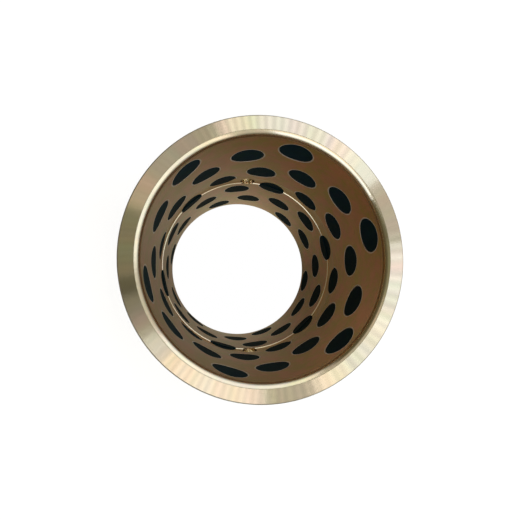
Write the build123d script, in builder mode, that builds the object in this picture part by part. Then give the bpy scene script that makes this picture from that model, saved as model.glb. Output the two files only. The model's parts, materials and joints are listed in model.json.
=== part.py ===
"""Graphite plugged bushing: a turned bronze sleeve with solid graphite plugs let through its wall."""
from build123d import *
import math
import os

os.makedirs("parts", exist_ok=True)

# Sleeve, mm
bore_diameter = 90.0
outer_diameter = 105.0
length = 120.0
mouth_radius = 2.0  # rounding where the bore runs out into each end face
rim_chamfer = 0.5  # edge break outside, at each end

# Grease groove turned round the middle of the bore
groove_width = 10.0
groove_depth = 0.5
groove_side_angle = 22.0  # degrees between each of the groove's sides and a level cut

# Two oil holes, opposite each other, that open low in the groove and cut into its lower side
oil_hole_diameter = 7.0
oil_hole_angle = 90.0
oil_hole_height = 58.0
oil_hole_chamfer = 0.4  # outside only

# Graphite plugs, in rows of evenly spaced plugs, each row turned past the one above it
plug_diameter = 14.0
plug_rows = 10
plugs_per_row = 6
row_pitch = 10.8
top_row_angle = 12.0
row_turn = 24.0

bore_radius = bore_diameter / 2
outer_radius = outer_diameter / 2
wall = outer_radius - bore_radius
middle = length / 2
plug_radius = plug_diameter / 2
top_row_height = middle + row_pitch * (plug_rows - 1) / 2
past_wall = outer_radius + wall  # how far from the axis a drill starts and a plug's bar is cut


def row_height(row):
    """Height of a row's plug axes, counted down from the top row."""
    return top_row_height - row * row_pitch


def pair_angle(row, pair):
    """Angle about the bore of one plug of an opposed pair."""
    return top_row_angle + row * row_turn + pair * 360 / plugs_per_row


def drilling_plane(angle, height, distance=0.0):
    """Plane square to a radius of the sleeve, facing out, this far from the bore's axis."""
    outward = Vector(1, 0, 0).rotate(Axis.Z, angle)
    return Plane(origin=outward * distance + Vector(0, 0, height), z_dir=outward)


# The wall's section: a tall rectangle, its corners eased, with the groove cut in its bore side
groove_half = groove_width / 2
floor_half = groove_half - groove_depth * math.tan(math.radians(groove_side_angle))

with BuildSketch(Plane.XZ) as wall_section:
    with Locations((bore_radius + wall / 2, middle)):
        Rectangle(wall, length)
    fillet(wall_section.vertices().group_by(Axis.X)[0], mouth_radius)
    chamfer(wall_section.vertices().group_by(Axis.X)[-1], rim_chamfer)
    with BuildLine() as groove_outline:
        Polyline(
            (bore_radius, middle - groove_half),
            (bore_radius + groove_depth, middle - floor_half),
            (bore_radius + groove_depth, middle + floor_half),
            (bore_radius, middle + groove_half),
            close=True,
        )
    make_face(mode=Mode.SUBTRACT)

# The turned blank, before it is drilled: both the sleeve and the plug ends take their form from it
with BuildPart() as turned_blank:
    revolve(wall_section.sketch, axis=Axis.Z)

# Each drill goes through both walls, so it opens two opposed plug seats
pairs = [(row, pair) for row in range(plug_rows) for pair in range(plugs_per_row // 2)]
drill_starts = [drilling_plane(pair_angle(row, pair), row_height(row), past_wall) for row, pair in pairs]

with BuildPart() as sleeve:
    add(turned_blank.part)
    with Locations(*drill_starts):
        Hole(plug_radius)
    with Locations(drilling_plane(oil_hole_angle, oil_hole_height, past_wall)):
        Hole(oil_hole_diameter / 2)
    oil_hole_rims = sleeve.edges(Select.LAST).filter_by(GeomType.LINE, reverse=True)
    outside_rims = oil_hole_rims.filter_by(lambda rim: abs((rim @ 0).Y) > outer_radius - 1.0)
    chamfer(outside_rims, oil_hole_chamfer)

sleeve.part.label = "sleeve"
export_step(sleeve.part, "parts/sleeve.step")

# Graphite plugs, in opposed pairs: round bars cut off flush with the bore, the groove and the outside
for row, pair in pairs:
    with BuildPart() as plug_pair:
        with BuildSketch(drilling_plane(pair_angle(row, pair), row_height(row))):
            Circle(plug_radius)
        extrude(amount=past_wall, both=True)
        add(turned_blank.part, mode=Mode.INTERSECT)
    plug_pair.part.label = f"plugs_row{row + 1:02d}_pair{pair + 1}"
    export_step(plug_pair.part, f"parts/{plug_pair.part.label}.step")
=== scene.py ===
"""Looks of the graphite plugged bushing: a turned bronze sleeve with flush graphite plugs.

Lengths are metres. Z runs up the bore, and the bushing stands on z = 0.
"""
import json
import math

import bmesh
import bpy
from mathutils import Matrix, Vector


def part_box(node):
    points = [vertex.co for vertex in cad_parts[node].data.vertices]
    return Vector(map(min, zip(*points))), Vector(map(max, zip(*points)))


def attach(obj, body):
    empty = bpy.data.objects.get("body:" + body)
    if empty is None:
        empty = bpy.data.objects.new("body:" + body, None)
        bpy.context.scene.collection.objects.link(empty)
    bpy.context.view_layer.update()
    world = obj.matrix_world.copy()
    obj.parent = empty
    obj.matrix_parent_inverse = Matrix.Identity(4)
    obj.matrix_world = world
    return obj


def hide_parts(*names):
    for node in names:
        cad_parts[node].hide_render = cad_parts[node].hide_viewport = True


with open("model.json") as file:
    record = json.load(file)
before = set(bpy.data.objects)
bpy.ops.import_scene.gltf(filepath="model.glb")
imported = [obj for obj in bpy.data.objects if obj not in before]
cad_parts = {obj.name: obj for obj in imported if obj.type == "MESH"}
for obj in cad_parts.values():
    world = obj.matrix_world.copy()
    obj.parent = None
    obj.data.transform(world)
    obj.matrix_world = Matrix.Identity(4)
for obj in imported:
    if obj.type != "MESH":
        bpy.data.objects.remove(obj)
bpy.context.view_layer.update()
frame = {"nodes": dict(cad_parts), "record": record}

MM = 0.001

# ---------------------------------------------------------------- the bushing's driving sizes

_, sleeve_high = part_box("sleeve")
length = sleeve_high.z
outer_radius = sleeve_high.x
mounts = {mount["name"]: mount for mount in frame["record"]["mounts"]}
bore_radius = mounts["bore"]["dims"]["r_mm"] * MM
middle = length / 2

mouth_radius = 2.5 * MM
mouth_width = 2.0 * MM
rim_chamfer = 0.5 * MM
groove_width = 10.0 * MM
groove_depth = 0.5 * MM
groove_flank = 22.0  # degrees between the groove's sides and a level cut
oil_hole_radius = 3.5 * MM
oil_hole_chamfer = 0.4 * MM
oil_hole_angle = 90.0
oil_hole_height = 58.0 * MM

plug_radius = 7.0 * MM
plugs_per_row = 6
plug_rows = len(frame["nodes"]) // (plugs_per_row // 2)
row_pitch = 10.8 * MM
top_row_angle = 12.0
row_turn = 24.0
top_row_height = middle + row_pitch * (plug_rows - 1) / 2

# Fine forms that only show close up
hold = 0.15 * MM  # plain strip kept beside a rounding, so that flats shade flat
groove_corner = 0.12 * MM  # rounding where the groove's sides meet its floor
seat_break = 0.2 * MM  # edge break round each plug seat, where the boring tool lifted the bronze
plug_break = 0.12 * MM  # worn edge of a plug's end
plug_sink = 0.03 * MM  # how far a plug's end stands back from the bronze
round_steps = 720  # facets round the sleeve

# Worked out from those sizes
groove_floor = bore_radius + groove_depth
groove_flat = groove_width / 2 - groove_depth * math.tan(math.radians(groove_flank))
mouth_turn = math.acos(1 - mouth_width / mouth_radius)  # arc of each mouth's rounding
mouth_tangent = mouth_radius * math.tan(mouth_turn / 2)
mouth_drop = mouth_width * math.tan(math.pi / 2 - mouth_turn)


def centre_of(row, place):
    """Angle about the bore, in degrees, and height of one plug, rows counted down from the top."""
    angle = top_row_angle + row * row_turn + place * 360 / plugs_per_row
    return angle, top_row_height - row * row_pitch


# ---------------------------------------------------------------- mesh tools


def as_piece(name, bm, sharp_angle=32.0):
    """Makes an object of a bmesh, shaded smooth but for its sharp edges."""
    bmesh.ops.recalc_face_normals(bm, faces=bm.faces)
    for face in bm.faces:
        face.smooth = True
    for edge in bm.edges:
        edge.smooth = edge.calc_face_angle(0.0) < math.radians(sharp_angle)
    mesh = bpy.data.meshes.new(name)
    bm.to_mesh(mesh)
    bm.free()
    piece = bpy.data.objects.new(name, mesh)
    bpy.context.scene.collection.objects.link(piece)
    return piece


def closed_outline(bm, corners):
    """Wire loop in the XZ plane through corners of (radius, height, rounding, segments)."""
    verts = [bm.verts.new((radius, 0.0, height)) for radius, height, _, _ in corners]
    for first, second in zip(verts, verts[1:] + verts[:1]):
        bm.edges.new((first, second))
    for vert, (_, _, rounding, segments) in zip(verts, corners):
        if rounding:
            bmesh.ops.bevel(
                bm, geom=[vert], offset=rounding, offset_type="OFFSET", segments=segments,
                profile=0.5, affect="VERTICES", material=-1,
            )


def turned_bar(profile, segments):
    """Bar about the X axis with a profile of (distance along, radius) from one end's middle to the other's.

    Its rings are then bent round Z: what lies x along the bar comes to lie x from the bore's axis, so that
    an end of the bar follows the wall's own surface.
    """
    bm = bmesh.new()
    verts = [bm.verts.new((along, 0.0, radius)) for along, radius in profile]
    edges = [bm.edges.new(pair) for pair in zip(verts, verts[1:])]
    bmesh.ops.spin(
        bm, geom=verts + edges, cent=(0, 0, 0), axis=(1, 0, 0), angle=math.tau,
        steps=segments, use_merge=True, use_duplicate=False,
    )
    bmesh.ops.remove_doubles(bm, verts=bm.verts, dist=0.001 * MM)
    for vert in bm.verts:
        vert.co.x = math.sqrt(vert.co.x ** 2 - vert.co.y ** 2)
    bar = bpy.data.meshes.new("bar")
    bm.to_mesh(bar)
    bm.free()
    return bar


def set_in_wall(bm, bar, angle, height):
    """Adds a copy of a bar to a bmesh, pointing out through the wall at an angle about the bore."""
    before = len(bm.verts)
    bm.from_mesh(bar)
    bm.verts.ensure_lookup_table()
    added = bm.verts[before:]
    bmesh.ops.rotate(bm, verts=added, cent=(0, 0, 0), matrix=Matrix.Rotation(math.radians(angle), 3, "Z"))
    bmesh.ops.translate(bm, verts=added, vec=(0, 0, height))


# ---------------------------------------------------------------- the sleeve

# The sleeve's finishes, in the order of its material slots
FACED, ROUNDED, TURNED, BORED, GROOVED, SEAT, DRILLED = range(7)


def sleeve_blank():
    """The turned sleeve before it is drilled."""
    bm = bmesh.new()
    mouth_edge = bore_radius + mouth_width
    above_mouth = mouth_drop + mouth_tangent + hold
    closed_outline(bm, [
        (bore_radius, mouth_drop, mouth_tangent, 14),
        (mouth_edge, 0.0, 0, 0),
        (mouth_edge + hold, 0.0, 0, 0),
        (outer_radius, 0.0, rim_chamfer, 1),
        (outer_radius, length, rim_chamfer, 1),
        (mouth_edge + hold, length, 0, 0),
        (mouth_edge, length, 0, 0),
        (bore_radius, length - mouth_drop, mouth_tangent, 14),
        (bore_radius, length - above_mouth, 0, 0),
        (bore_radius, middle + groove_width / 2, 0, 0),
        (groove_floor, middle + groove_flat, groove_corner, 4),
        (groove_floor, middle - groove_flat, groove_corner, 4),
        (bore_radius, middle - groove_width / 2, 0, 0),
        (bore_radius, above_mouth, 0, 0),
    ])
    bmesh.ops.spin(
        bm, geom=bm.verts[:] + bm.edges[:], cent=(0, 0, 0), axis=(0, 0, 1), angle=math.tau / 4,
        steps=round_steps // 4, use_merge=False, use_duplicate=False,
    )
    for axis in ("X", "Y"):
        bmesh.ops.mirror(
            bm, geom=bm.verts[:] + bm.edges[:] + bm.faces[:], matrix=Matrix.Identity(4),
            merge_dist=0.002 * MM, axis=axis,
        )
    return as_piece("blank", bm)


def drill_bit(radius, edge_break, inner, segments):
    """What one drill takes out of the wall, flared where it breaks through at both surfaces."""
    past = 0.05 * MM
    flare = radius + edge_break + past
    return turned_bar([
        (inner - 5 * MM, 0.0),
        (inner - 5 * MM, flare),
        (inner - past, flare),
        (inner + edge_break, radius),
        (outer_radius - edge_break, radius),
        (outer_radius + past, flare),
        (outer_radius + 3 * MM, flare),
        (outer_radius + 3 * MM, 0.0),
    ], segments)


def finish_of(face):
    """Which of the sleeve's finishes a face has."""
    point = face.calc_center_median()
    from_axis = math.hypot(point.x, point.y)
    across = (face.normal.x * point.y - face.normal.y * point.x) / from_axis
    outward = (face.normal.x * point.x + face.normal.y * point.y) / from_axis
    from_oil_hole = math.hypot(point.x, point.z - oil_hole_height)
    beside_oil_hole = from_oil_hole < oil_hole_radius + 2 * oil_hole_chamfer
    if abs(across) > 0.02:
        return DRILLED if beside_oil_hole else SEAT
    if abs(face.normal.z) > 0.999:
        return FACED
    if from_axis > outer_radius - rim_chamfer:
        return TURNED
    if min(point.z, length - point.z) < mouth_drop + mouth_tangent:
        return ROUNDED
    if from_axis < bore_radius + 0.002 * MM and outward < -0.98:
        return BORED
    if abs(point.z - middle) < groove_width / 2:
        return DRILLED if beside_oil_hole and abs(outward) < 0.9 else GROOVED
    return SEAT


def drilled_sleeve(finishes):
    """The sleeve with its plug seats and oil holes cut, and its finish given to each surface."""
    sleeve = sleeve_blank()
    seat_bit = drill_bit(plug_radius, seat_break, bore_radius, 72)
    oil_bit = drill_bit(oil_hole_radius, oil_hole_chamfer, groove_floor, 48)
    cut = bmesh.new()
    for row in range(plug_rows):
        for place in range(plugs_per_row):
            set_in_wall(cut, seat_bit, *centre_of(row, place))
    for angle in (oil_hole_angle, oil_hole_angle + 180):
        set_in_wall(cut, oil_bit, angle, oil_hole_height)
    bits = as_piece("bits", cut)
    drilling = sleeve.modifiers.new("drilling", "BOOLEAN")
    drilling.operation = "DIFFERENCE"
    drilling.solver = "MANIFOLD"
    drilling.object = bits
    bpy.context.view_layer.update()
    drilled = bpy.data.meshes.new_from_object(sleeve.evaluated_get(bpy.context.evaluated_depsgraph_get()))
    bpy.data.objects.remove(sleeve)
    bpy.data.objects.remove(bits)
    bm = bmesh.new()
    bm.from_mesh(drilled)
    bmesh.ops.remove_doubles(bm, verts=bm.verts, dist=0.002 * MM)
    bm.normal_update()
    for face in bm.faces:
        face.material_index = finish_of(face)
    piece = as_piece("bronze_sleeve", bm)
    for finish in finishes:
        piece.data.materials.append(finish)
    return piece


# ---------------------------------------------------------------- the plugs


def groove_at(height):
    """How deep the groove is at a height."""
    up_flank = (groove_width / 2 - abs(height - middle)) / (groove_width / 2 - groove_flat)
    return groove_depth * max(0.0, min(1.0, up_flank))


def plug_bar():
    """A plug as it is cut off: flush with the bore and the outside, its end edges worn."""
    near = bore_radius + plug_sink
    far = outer_radius - plug_sink
    worn = plug_radius - plug_break
    rings = 10
    steps = [worn * ring / rings for ring in range(rings + 1)]
    return turned_bar(
        [(near, radius) for radius in steps]
        + [(near + plug_break, plug_radius), (far - plug_break, plug_radius)]
        + [(far, radius) for radius in reversed(steps)],
        72,
    )


def graphite_plugs(finish):
    """Every plug, two opposed ones to a piece, as the frame holds them."""
    bar = plug_bar()
    for row in range(plug_rows):
        for pair in range(plugs_per_row // 2):
            bm = bmesh.new()
            for place in (pair, pair + plugs_per_row // 2):
                set_in_wall(bm, bar, *centre_of(row, place))
            if abs(centre_of(row, 0)[1] - middle) < plug_radius + groove_width / 2:
                for line in (groove_width / 2, groove_flat, -groove_flat, -groove_width / 2):
                    bmesh.ops.bisect_plane(
                        bm, geom=bm.verts[:] + bm.edges[:] + bm.faces[:],
                        plane_co=(0, 0, middle + line), plane_no=(0, 0, 1), dist=0.001 * MM,
                    )
                for vert in bm.verts:
                    from_axis = math.hypot(vert.co.x, vert.co.y)
                    if from_axis < bore_radius + plug_sink + plug_break + 0.01 * MM:
                        out = (from_axis + groove_at(vert.co.z)) / from_axis
                        vert.co.x *= out
                        vert.co.y *= out
            node = f"plugs_row{row + 1:02d}_pair{pair + 1}"
            plugs = as_piece("graphite_" + node, bm)
            plugs.data.materials.append(finish)
            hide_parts(node)
            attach(plugs, "root")


# ---------------------------------------------------------------- finishes

# Mouth rounding: painted brown shade at the bore's edge, and a painted highlight brighter than fresh bronze
# toward the end face
MOUTH_SHADE_BRONZE = (0.80, 0.62, 0.36)
MOUTH_HIGHLIGHT_BRONZE = (0.98, 0.88, 0.66)
FRESH_BRONZE = (0.90, 0.80, 0.62)
OLIVE_BRONZE = (0.64, 0.35, 0.01)
RUDDY_BRONZE = (0.81, 0.30, 0.085)
# painted highlight on the groove's sides
GROOVE_SIDE_HIGHLIGHT_BRONZE = (0.98, 0.88, 0.66)
GROOVE_BRONZE = (0.78, 0.52, 0.27)
DRILLED_BRONZE = (1.0, 0.80, 0.46)
# painted shadow at the oil holes' sides
HOLE_SIDE_SHADOW_BRONZE = (0.12, 0.096, 0.055)
PLUG_RIM_HIGHLIGHT_BRONZE = (0.95, 0.80, 0.66)
# painted highlight: the pale ring round each plug
SEAT_BRONZE = (0.72, 0.58, 0.44)
GRAPHITE = (0.006, 0.022, 0.028)

# Chatter marks of the facing tool
chatter_marks = 105  # round a face
chatter_crowding = 31.0  # how much closer they lie on the left than on the right
chatter_strength = 0.008  # outside the patches where they are strong
# Middle angle of each such patch, degrees to each side at full strength and to its end, added strength
chatter_patches = [
    (82.0, 22.0, 42.0, 0.085),
    (-62.0, 68.0, 80.0, 0.05),
]


def add(tree, kind, inputs=None, **settings):
    """New shader node; an input is a number, a colour, or another node's output."""
    made = tree.nodes.new("ShaderNode" + kind)
    for setting, value in settings.items():
        setattr(made, setting, value)
    for socket, value in (inputs or {}).items():
        if isinstance(value, bpy.types.NodeSocket):
            tree.links.new(value, made.inputs[socket])
        else:
            made.inputs[socket].default_value = value
    return made


def calculate(tree, operation, first, second=0.0, third=0.0):
    return add(tree, "Math", {0: first, 1: second, 2: third}, operation=operation).outputs[0]


def vectors(tree, operation, first, second=(0, 0, 0), third=(0, 0, 0), answer="Vector"):
    return add(tree, "VectorMath", {0: first, 1: second, 2: third}, operation=operation).outputs[answer]


def spread(tree, value, start, end, low=0.0, high=1.0):
    """Spreads values between start and end from low to high, and holds them there beyond."""
    inputs = {"Value": value, "From Min": start, "From Max": end, "To Min": low, "To Max": high}
    return add(tree, "MapRange", inputs).outputs["Result"]


def blend(tree, factor, first, second):
    """Colour between two others, each three numbers or a shader output."""
    inputs = {"Factor": factor}
    for socket, colour in (("A", first), ("B", second)):
        inputs[socket] = colour if isinstance(colour, bpy.types.NodeSocket) else (*colour, 1.0)
    return add(tree, "Mix", inputs, data_type="RGBA").outputs["Result"]


def new_finish(name):
    material = bpy.data.materials.new(name)
    material.use_nodes = True
    tree = material.node_tree
    return material, tree, tree.nodes["Principled BSDF"]


def bore_coordinates(tree):
    """Outputs for the place, the direction about the bore, the distance from its axis and the height."""
    place = add(tree, "TexCoord").outputs["Object"]
    flat = vectors(tree, "MULTIPLY", place, (1, 1, 0))
    around = vectors(tree, "NORMALIZE", flat)
    radius = vectors(tree, "LENGTH", flat, answer="Value")
    height = add(tree, "SeparateXYZ", {0: place}).outputs["Z"]
    return place, around, radius, height


def noise(tree, vector, scale, detail=2.0, roughness=0.5, answer="Fac"):
    inputs = {"Vector": vector, "Scale": scale, "Detail": detail, "Roughness": roughness}
    return add(tree, "TexNoise", inputs).outputs[answer]


def speckle(tree, vector, scale, detail=2.0, roughness=0.5):
    """Three unrelated noises in one colour."""
    return noise(tree, vector, scale, detail, roughness, "Color")


def stretch(tree, value, low, high):
    """Spreads a noise's usual span from low to high."""
    return spread(tree, value, 0.3, 0.7, low, high)


def tinted(tree, colour, noises, swing):
    """Multiplies a colour by noises that differ by up to swing from one."""
    factors = vectors(tree, "MULTIPLY_ADD", noises, (2 * swing,) * 3, (1 - swing,) * 3)
    return vectors(tree, "MULTIPLY", colour, factors)


def bump(tree, bsdf, *layers):
    """Chains bump layers of (height output, depth in metres) onto the shader."""
    normal = None
    for height, depth in layers:
        inputs = {"Height": height, "Distance": depth, "Strength": 1.0}
        if normal is not None:
            inputs["Normal"] = normal
        normal = add(tree, "Bump", inputs).outputs["Normal"]
    tree.links.new(normal, bsdf.inputs["Normal"])


def machined(name, anisotropy):
    """Bare metal with its gloss drawn out across marks that run round the bore."""
    material, tree, bsdf = new_finish(name)
    bsdf.inputs["Metallic"].default_value = 1.0
    bsdf.inputs["Anisotropic"].default_value = anisotropy
    bsdf.inputs["Anisotropic Rotation"].default_value = 0.25
    tangent = add(tree, "Tangent", direction_type="RADIAL", axis="Z")
    tree.links.new(tangent.outputs["Tangent"], bsdf.inputs["Tangent"])
    return material, tree, bsdf


def chatter(tree, around):
    """How bright the facing tool's chatter leaves the metal, about one."""
    turn = add(tree, "SeparateXYZ", {0: around}).outputs
    angle = calculate(tree, "ARCTAN2", turn["Y"], turn["X"])
    wander = calculate(tree, "MULTIPLY", noise(tree, around, 6.0), 4.0)
    shift = calculate(tree, "MULTIPLY_ADD", turn["Y"], -chatter_crowding, wander)
    wave = calculate(tree, "SINE", calculate(tree, "MULTIPLY_ADD", angle, chatter_marks, shift))
    strength = chatter_strength
    for centre, full, end, added in chatter_patches:
        direction = Matrix.Rotation(math.radians(centre), 3, "Z") @ Vector((1, 0, 0))
        nearness = vectors(tree, "DOT_PRODUCT", around, direction, answer="Value")
        inside = spread(tree, nearness, math.cos(math.radians(end)), math.cos(math.radians(full)))
        strength = calculate(tree, "MULTIPLY_ADD", inside, added, strength)
    return calculate(tree, "MULTIPLY_ADD", wave, strength, 1.0)


def faced_bronze():
    """The end faces: fine rings from the facing tool, crossed by chatter and by leaning streaks."""
    material, tree, bsdf = machined("faced_bronze", 1.0)
    place, around, radius, height = bore_coordinates(tree)
    lean = calculate(tree, "MULTIPLY", radius, -4.0)
    turn = add(tree, "VectorRotate", {"Vector": around, "Angle": lean}, rotation_type="Z_AXIS")
    leaning = turn.outputs["Vector"]
    marked = vectors(tree, "MULTIPLY", FRESH_BRONZE, chatter(tree, around))
    streaked = tinted(tree, marked, noise(tree, leaning, 36.0, 0.0), 0.035)
    hues = tinted(tree, streaked, speckle(tree, leaning, 16.0, 0.0), 0.04)
    tree.links.new(tinted(tree, hues, speckle(tree, leaning, 5.0, 1.0), 0.08), bsdf.inputs["Base Color"])
    bsdf.inputs["Roughness"].default_value = 0.13
    bump(tree, bsdf, (noise(tree, radius, 9000.0), 0.004 * MM))
    return material


def rounded_bronze():
    """The mouth's rounding, smoother toward the end face; its colour is a painted highlight there and
    painted brown shade toward the bore.
    """
    material, tree, bsdf = machined("rounded_bronze", 0.6)
    place, around, radius, height = bore_coordinates(tree)
    smoothness_and_highlight = spread(tree, radius, bore_radius, bore_radius + 0.7 * MM)
    # painted highlight toward the end face, painted brown shade toward the bore
    colour = blend(tree, smoothness_and_highlight, MOUTH_SHADE_BRONZE, MOUTH_HIGHLIGHT_BRONZE)
    tree.links.new(tinted(tree, colour, speckle(tree, around, 30.0), 0.06), bsdf.inputs["Base Color"])
    tree.links.new(spread(tree, smoothness_and_highlight, 0.0, 1.0, 0.33, 0.15), bsdf.inputs["Roughness"])
    bump(tree, bsdf, (noise(tree, around, 40.0, 3.0), 0.01 * MM))
    return material


def turned_bronze():
    """The outside, with the turning tool's fine thread."""
    material, tree, bsdf = machined("turned_bronze", 0.9)
    place, around, radius, height = bore_coordinates(tree)
    bands = add(tree, "CombineXYZ", {"Z": height}).outputs["Vector"]
    tone = tinted(tree, FRESH_BRONZE, speckle(tree, bands, 700.0, 4.0, 0.7), 0.08)
    tone = tinted(tree, tone, speckle(tree, place, 22.0, 3.0), 0.10)
    tree.links.new(tone, bsdf.inputs["Base Color"])
    tree.links.new(stretch(tree, noise(tree, place, 60.0, 3.0), 0.28, 0.36), bsdf.inputs["Roughness"])
    bump(tree, bsdf, (noise(tree, bands, 5000.0), 0.003 * MM))
    return material


def past_seat(tree, around, height):
    """How far a point of the bore lies outside the nearest plug seat."""
    turn = add(tree, "SeparateXYZ", {0: around}).outputs
    angle = calculate(tree, "DEGREES", calculate(tree, "ARCTAN2", turn["Y"], turn["X"]))
    from_start = calculate(tree, "SUBTRACT", angle, top_row_angle)
    rows_down = calculate(tree, "MULTIPLY_ADD", height, -1 / row_pitch, top_row_height / row_pitch)
    apart = []
    for further in (0, 1):
        row = calculate(tree, "ADD", calculate(tree, "FLOOR", rows_down), further)
        row = calculate(tree, "MINIMUM", calculate(tree, "MAXIMUM", row, 0), plug_rows - 1)
        turned = calculate(tree, "MULTIPLY_ADD", row, -row_turn, from_start)
        from_plug = calculate(tree, "WRAP", turned, 180 / plugs_per_row, -180 / plugs_per_row)
        sideways = calculate(tree, "SINE", calculate(tree, "RADIANS", from_plug))
        across = calculate(tree, "MULTIPLY", sideways, bore_radius)
        down = calculate(tree, "MULTIPLY", calculate(tree, "SUBTRACT", rows_down, row), row_pitch)
        offset = add(tree, "CombineXYZ", {"X": across, "Y": down}).outputs["Vector"]
        apart.append(vectors(tree, "LENGTH", offset, answer="Value"))
    return calculate(tree, "SUBTRACT", calculate(tree, "MINIMUM", *apart), plug_radius)


def bored_bronze():
    """The bore: bronze in olive and ruddy brown patches under a film of oil, with a pale ring round each
    plug that is a painted highlight.
    """
    material, tree, bsdf = machined("bored_bronze", 0.6)
    place, around, radius, height = bore_coordinates(tree)
    bands = add(tree, "CombineXYZ", {"Z": height}).outputs["Vector"]
    patches = stretch(tree, noise(tree, place, 110.0, 4.0, 0.65), -0.4, 1.4)
    brown_patches = blend(tree, patches, OLIVE_BRONZE, RUDDY_BRONZE)
    # pale ring round each plug, a painted highlight, also less metallic
    plug_rim_highlight = spread(tree, past_seat(tree, around, height), 0.35 * MM, 0.75 * MM, 1.0, 0.0)
    metal = blend(tree, plug_rim_highlight, brown_patches, PLUG_RIM_HIGHLIGHT_BRONZE)
    tone = tinted(tree, metal, speckle(tree, place, 50.0, 4.0, 0.6), 0.16)
    tone = tinted(tree, tone, speckle(tree, bands, 500.0, 3.0), 0.05)
    tree.links.new(tone, bsdf.inputs["Base Color"])
    tree.links.new(spread(tree, plug_rim_highlight, 0.0, 1.0, 1.0, 0.65), bsdf.inputs["Metallic"])
    tree.links.new(stretch(tree, noise(tree, place, 45.0, 3.0), 0.28, 0.34), bsdf.inputs["Roughness"])
    bsdf.inputs["Coat Weight"].default_value = 1.0
    bsdf.inputs["Coat Roughness"].default_value = 0.25
    bump(tree, bsdf, (noise(tree, bands, 4000.0), 0.003 * MM))
    return material


def grooved_bronze():
    """The grease groove: its sides are painted brighter than its floor, as a painted highlight."""
    material, tree, bsdf = machined("grooved_bronze", 0.8)
    place, around, radius, height = bore_coordinates(tree)
    deep = spread(tree, radius, groove_floor - 0.15 * MM, groove_floor - 0.03 * MM)
    # the groove's sides get a painted highlight, the floor its own colour
    colour = blend(tree, deep, GROOVE_SIDE_HIGHLIGHT_BRONZE, GROOVE_BRONZE)
    tree.links.new(tinted(tree, colour, speckle(tree, place, 90.0, 3.0), 0.12), bsdf.inputs["Base Color"])
    bsdf.inputs["Roughness"].default_value = 0.3
    bands = add(tree, "CombineXYZ", {"Z": height}).outputs["Vector"]
    bump(tree, bsdf, (noise(tree, bands, 4000.0), 0.003 * MM))
    return material


def seat_bronze():
    """The dull broken edge round each plug."""
    material, tree, bsdf = new_finish("seat_bronze")
    place, around, radius, height = bore_coordinates(tree)
    tree.links.new(tinted(tree, SEAT_BRONZE, speckle(tree, place, 500.0), 0.25), bsdf.inputs["Base Color"])
    bsdf.inputs["Metallic"].default_value = 0.6
    bsdf.inputs["Roughness"].default_value = 0.6
    bump(tree, bsdf, (noise(tree, place, 900.0, 2.0), 0.1 * MM))
    return material


def drilled_bronze():
    """The oil holes: a fresh cut, torn where the drill broke through, with painted shadow at the hole's
    sides.
    """
    material, tree, bsdf = new_finish("drilled_bronze")
    place, around, radius, height = bore_coordinates(tree)
    from_middle = calculate(tree, "ABSOLUTE", add(tree, "SeparateXYZ", {0: place}).outputs["X"])
    # painted shadow toward the hole's sides
    side_shadow = spread(tree, from_middle, 2.3 * MM, 3.3 * MM)
    metal = blend(tree, side_shadow, DRILLED_BRONZE, HOLE_SIDE_SHADOW_BRONZE)
    tree.links.new(tinted(tree, metal, speckle(tree, place, 600.0), 0.2), bsdf.inputs["Base Color"])
    bsdf.inputs["Metallic"].default_value = 1.0
    bsdf.inputs["Roughness"].default_value = 0.16
    torn = spread(tree, radius, groove_floor + 1 * MM, groove_floor + 2.5 * MM, 1.0, 0.03)
    bump(tree, bsdf, (calculate(tree, "MULTIPLY", noise(tree, place, 750.0, 1.0), torn), 1.6 * MM))
    return material


def graphite():
    """Pressed graphite: near black, faintly blue, with fine pores."""
    material, tree, bsdf = new_finish("graphite")
    place, around, radius, height = bore_coordinates(tree)
    grain = noise(tree, place, 1500.0, 4.0, 0.65)
    tone = tinted(tree, GRAPHITE, speckle(tree, place, 250.0, 3.0), 0.5)
    tree.links.new(tone, bsdf.inputs["Base Color"])
    bsdf.inputs["Specular IOR Level"].default_value = 0.03
    bsdf.inputs["Specular Tint"].default_value = (0.5, 0.9, 1.0, 1.0)
    tree.links.new(stretch(tree, grain, 0.45, 0.6), bsdf.inputs["Roughness"])
    bump(tree, bsdf, (grain, 0.01 * MM))
    return material


# ---------------------------------------------------------------- stage, lights and camera

FLOOR_RADIUS = 6.0
FLOOR_GLOW = 0.62
FLOOR_PAINT = (0.8, 0.8, 0.8)
# painted shade: a darker copy of the floor's paint, which only the bushing's reflections and bounce light
# see
FLOOR_SHADE_FOR_BUSHING = (0.3, 0.29, 0.26)  # the floor's paint as the bushing sees it
UNDERGLOW = 0.096
UNDERGLOW_LEAST = 0.02
UNDERGLOW_SLOPE = (-0.6, 1.5, 0.0)  # per metre across the floor
UNDERGLOW_RIM = (8.0, 100.0, 0.0)  # per square metre, so that it gains toward the bore's wall
UNDERGLOW_TINT = (0.95, 1.0, 0.78)
WHITE = (1.0, 1.0, 1.0)
ROOM_CEILING = (0.18, 0.175, 0.125)
ROOM_WALLS = (0.085, 0.066, 0.034)
DOME_RADIUS = 3.0
DOME_POLE = Vector((0.163, 0.064, 0.985))
STREAKS = 0.4  # unevenness of a softbox of strength 1
VIEW_TURN = -0.88  # degrees from the camera's level to the bushing's X axis, about Z
VIEW_AXES = Matrix.Rotation(math.radians(VIEW_TURN), 3, "Z")
CAMERA_PLACE = Vector((-22.45, -8.67, 243.1)) * MM
CAMERA_UP = VIEW_AXES @ Vector((0, 1, 0))
CAMERA_AIM = CAMERA_PLACE + VIEW_AXES @ Vector((0.1518, 0.0612, -0.9865))

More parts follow.
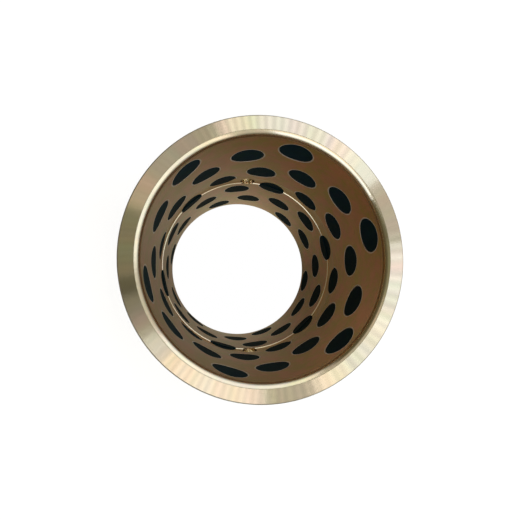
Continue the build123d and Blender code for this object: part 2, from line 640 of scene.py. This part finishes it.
# name, from and to angle about the bore, from and to angle down from the pole, colour, strength
SOFTBOXES = [
    ("right_pale", -36, 7, 8, 78, (0.98, 1.0, 1.02), 1.02),
    ("right_mid", -52, -36, 8, 78, (0.97, 1.0, 1.0), 0.95),
    ("right_warm", -68, -52, 8, 78, (1.0, 0.95, 0.84), 1.07),
    ("fill_right", -89.5, -68, 8, 78, (1.0, 0.94, 0.82), 0.50),
    ("front", -134, -89.5, 8, 33, (1.0, 0.93, 0.83), 1.01),
    ("front_end", -145.5, -134, 8, 33, (1.0, 0.98, 0.95), 0.75),
    ("front_fade", -156, -145.5, 8, 33, (1.0, 0.96, 0.83), 0.33),
    ("front_last", -164, -156, 8, 33, (1.0, 0.93, 0.78), 0.25),
    ("front_low", -149.5, -85.5, 33, 78, (0.97, 1.02, 1.08), 1.35),
    ("left_dark", -172, -164, 8, 45, (1.0, 0.97, 0.60), 0.105),
    ("left_dim", -201, -172, 8, 45, (1.0, 0.97, 0.64), 0.205),
    ("fill_left_red", -216, -201, 8, 42, (1.08, 0.90, 0.74), 0.44),
    ("fill_left", -243, -216, 8, 42, (1.0, 0.95, 0.80), 0.39),
    ("fill_back", -250.7, -243, 8, 78, (1.0, 0.95, 0.80), 0.39),
    ("back_golden", -268, -250.7, 8, 78, (1.0, 1.0, 0.88), 0.89),
    ("back_pale", -305, -268, 8, 78, (0.98, 1.01, 1.06), 0.97),
    ("back_bright", -325.5, -305, 8, 78, (0.99, 1.01, 1.02), 1.06),
    ("fill_far_right", -353, -325.5, 8, 78, (1.0, 0.97, 0.88), 0.55),
]


def glow(name, colour, strength):
    """Material that only gives light."""
    material = bpy.data.materials.new(name)
    material.use_nodes = True
    tree = material.node_tree
    tree.nodes.remove(tree.nodes["Principled BSDF"])
    light = add(tree, "Emission", {"Color": (*colour, 1.0), "Strength": strength})
    tree.links.new(light.outputs["Emission"], tree.nodes["Material Output"].inputs["Surface"])
    return material


def uneven(material, colour, streaks):
    """Gives a glow bands of slightly different white, which run down from the pole and fade."""
    tree = material.node_tree
    place = add(tree, "TexCoord").outputs["Object"]
    up = vectors(tree, "SUBTRACT", place, (0, 0, length))
    across = vectors(tree, "SUBTRACT", up, vectors(tree, "PROJECT", up, DOME_POLE))
    round_pole = vectors(tree, "NORMALIZE", across)
    fine = tinted(tree, colour, noise(tree, round_pole, 34.0, 1.0), streaks)
    hues = tinted(tree, fine, speckle(tree, round_pole, 14.0, 0.0), 0.08)
    broad = tinted(tree, hues, speckle(tree, round_pole, 6.0, 1.0), 0.08)
    raised = vectors(tree, "DOT_PRODUCT", up, DOME_POLE, answer="Value")
    fade = spread(tree, raised, 0.2 * DOME_RADIUS, DOME_RADIUS * 2 / 3, 0.3, 1.0)
    tree.links.new(vectors(tree, "MULTIPLY", broad, fade), tree.nodes["Emission"].inputs["Color"])


def floor():
    """Pale floor that glows like a light table, dimly where it lies under the bore."""
    bm = bmesh.new()
    bmesh.ops.create_circle(bm, cap_ends=True, radius=FLOOR_RADIUS, segments=96)
    piece = as_piece("floor", bm)
    material, tree, bsdf = new_finish("floor_white")
    bsdf.inputs["Roughness"].default_value = 0.9
    bsdf.inputs["Specular IOR Level"].default_value = 0.0
    place, around, radius, height = bore_coordinates(tree)
    seen = add(tree, "LightPath").outputs["Is Camera Ray"]
    across = vectors(tree, "DOT_PRODUCT", place, UNDERGLOW_SLOPE, answer="Value")
    squared = vectors(tree, "MULTIPLY", place, place)
    rim = vectors(tree, "DOT_PRODUCT", squared, UNDERGLOW_RIM, answer="Value")
    uneven_glow = calculate(tree, "ADD", calculate(tree, "ADD", across, rim), UNDERGLOW)
    underglow = calculate(tree, "MAXIMUM", uneven_glow, UNDERGLOW_LEAST)
    inside = calculate(tree, "LESS_THAN", radius, bore_radius)
    reflected = calculate(tree, "MULTIPLY", underglow, inside)
    strength = add(tree, "Mix", {"Factor": seen, "A": reflected, "B": FLOOR_GLOW}).outputs["Result"]
    # the camera sees the floor's paint, everything else a darker copy of it, painted shade
    tree.links.new(blend(tree, seen, FLOOR_SHADE_FOR_BUSHING, FLOOR_PAINT), bsdf.inputs["Base Color"])
    tree.links.new(blend(tree, seen, UNDERGLOW_TINT, WHITE), bsdf.inputs["Emission Color"])
    tree.links.new(strength, bsdf.inputs["Emission Strength"])
    piece.data.materials.append(material)


def backlight():
    """White disc on the floor inside the bore, which only the camera sees."""
    bm = bmesh.new()
    bmesh.ops.create_circle(bm, cap_ends=True, radius=bore_radius + 1 * MM, segments=96)
    bmesh.ops.translate(bm, verts=bm.verts, vec=(0, 0, 0.02 * MM))
    disc = as_piece("backlight", bm)
    disc.data.materials.append(glow("backlight_white", WHITE, 1.0))
    disc.visible_diffuse = False
    disc.visible_glossy = False
    disc.visible_transmission = False
    disc.visible_shadow = False


def softbox(name, start, end, top, bottom, colour, strength):
    """Part of a dome of light, between two angles about its pole and two angles down from the pole."""
    bm = bmesh.new()
    curve = 24
    verts = []
    for step in range(curve + 1):
        down = math.radians(top + (bottom - top) * step / curve)
        verts.append(bm.verts.new((DOME_RADIUS * math.sin(down), 0.0, DOME_RADIUS * math.cos(down))))
    edges = [bm.edges.new(pair) for pair in zip(verts, verts[1:])]
    turn = Matrix.Rotation(math.radians(start), 3, "Z")
    bmesh.ops.rotate(bm, verts=verts, cent=(0, 0, 0), matrix=turn)
    bmesh.ops.spin(
        bm, geom=verts + edges, cent=(0, 0, 0), axis=(0, 0, 1), angle=math.radians(end - start),
        steps=max(6, int((end - start) / 3)), use_merge=False, use_duplicate=False,
    )
    lean = Vector((0, 0, 1)).rotation_difference(DOME_POLE).to_matrix()
    bmesh.ops.rotate(bm, verts=bm.verts, cent=(0, 0, 0), matrix=lean)
    bmesh.ops.translate(bm, verts=bm.verts, vec=(0, 0, length))
    box = as_piece(name, bm)
    light = glow(name + "_light", colour, strength)
    uneven(light, colour, STREAKS * strength)
    box.data.materials.append(light)
    box.visible_camera = False


def studio():
    """A dim room, white to the camera, and the softboxes."""
    world = bpy.data.worlds.new("studio")
    bpy.context.scene.world = world
    world.use_nodes = True
    tree = world.node_tree
    seen = add(tree, "LightPath").outputs["Is Camera Ray"]
    upward = add(tree, "SeparateXYZ", {0: add(tree, "TexCoord").outputs["Generated"]}).outputs["Z"]
    room = blend(tree, spread(tree, upward, 0.5, 0.95), ROOM_WALLS, ROOM_CEILING)
    tree.links.new(blend(tree, seen, room, WHITE), tree.nodes["Background"].inputs["Color"])
    for name, start, end, top, bottom, colour, strength in SOFTBOXES:
        softbox(name, start + VIEW_TURN, end + VIEW_TURN, top, bottom, colour, strength)


def camera():
    """Camera above the mouth, off the axis and leaning back over it."""
    data = bpy.data.cameras.new("camera")
    data.sensor_width = 36.0
    data.lens = 24.07
    data.clip_start = 0.01
    data.clip_end = 50.0
    eye = bpy.data.objects.new("camera", data)
    forward = (CAMERA_AIM - CAMERA_PLACE).normalized()
    right = forward.cross(CAMERA_UP).normalized()
    up = right.cross(forward)
    turn = Matrix((right, up, -forward)).transposed()
    eye.matrix_world = Matrix.Translation(CAMERA_PLACE) @ turn.to_4x4()
    bpy.context.scene.collection.objects.link(eye)
    bpy.context.scene.camera = eye


# ---------------------------------------------------------------- making it

sleeve = drilled_sleeve([
    faced_bronze(), rounded_bronze(), turned_bronze(), bored_bronze(), grooved_bronze(), seat_bronze(),
    drilled_bronze(),
])
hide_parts("sleeve")
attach(sleeve, "root")
graphite_plugs(graphite())

floor()
backlight()
studio()
camera()
bpy.context.scene.view_settings.view_transform = "Standard"
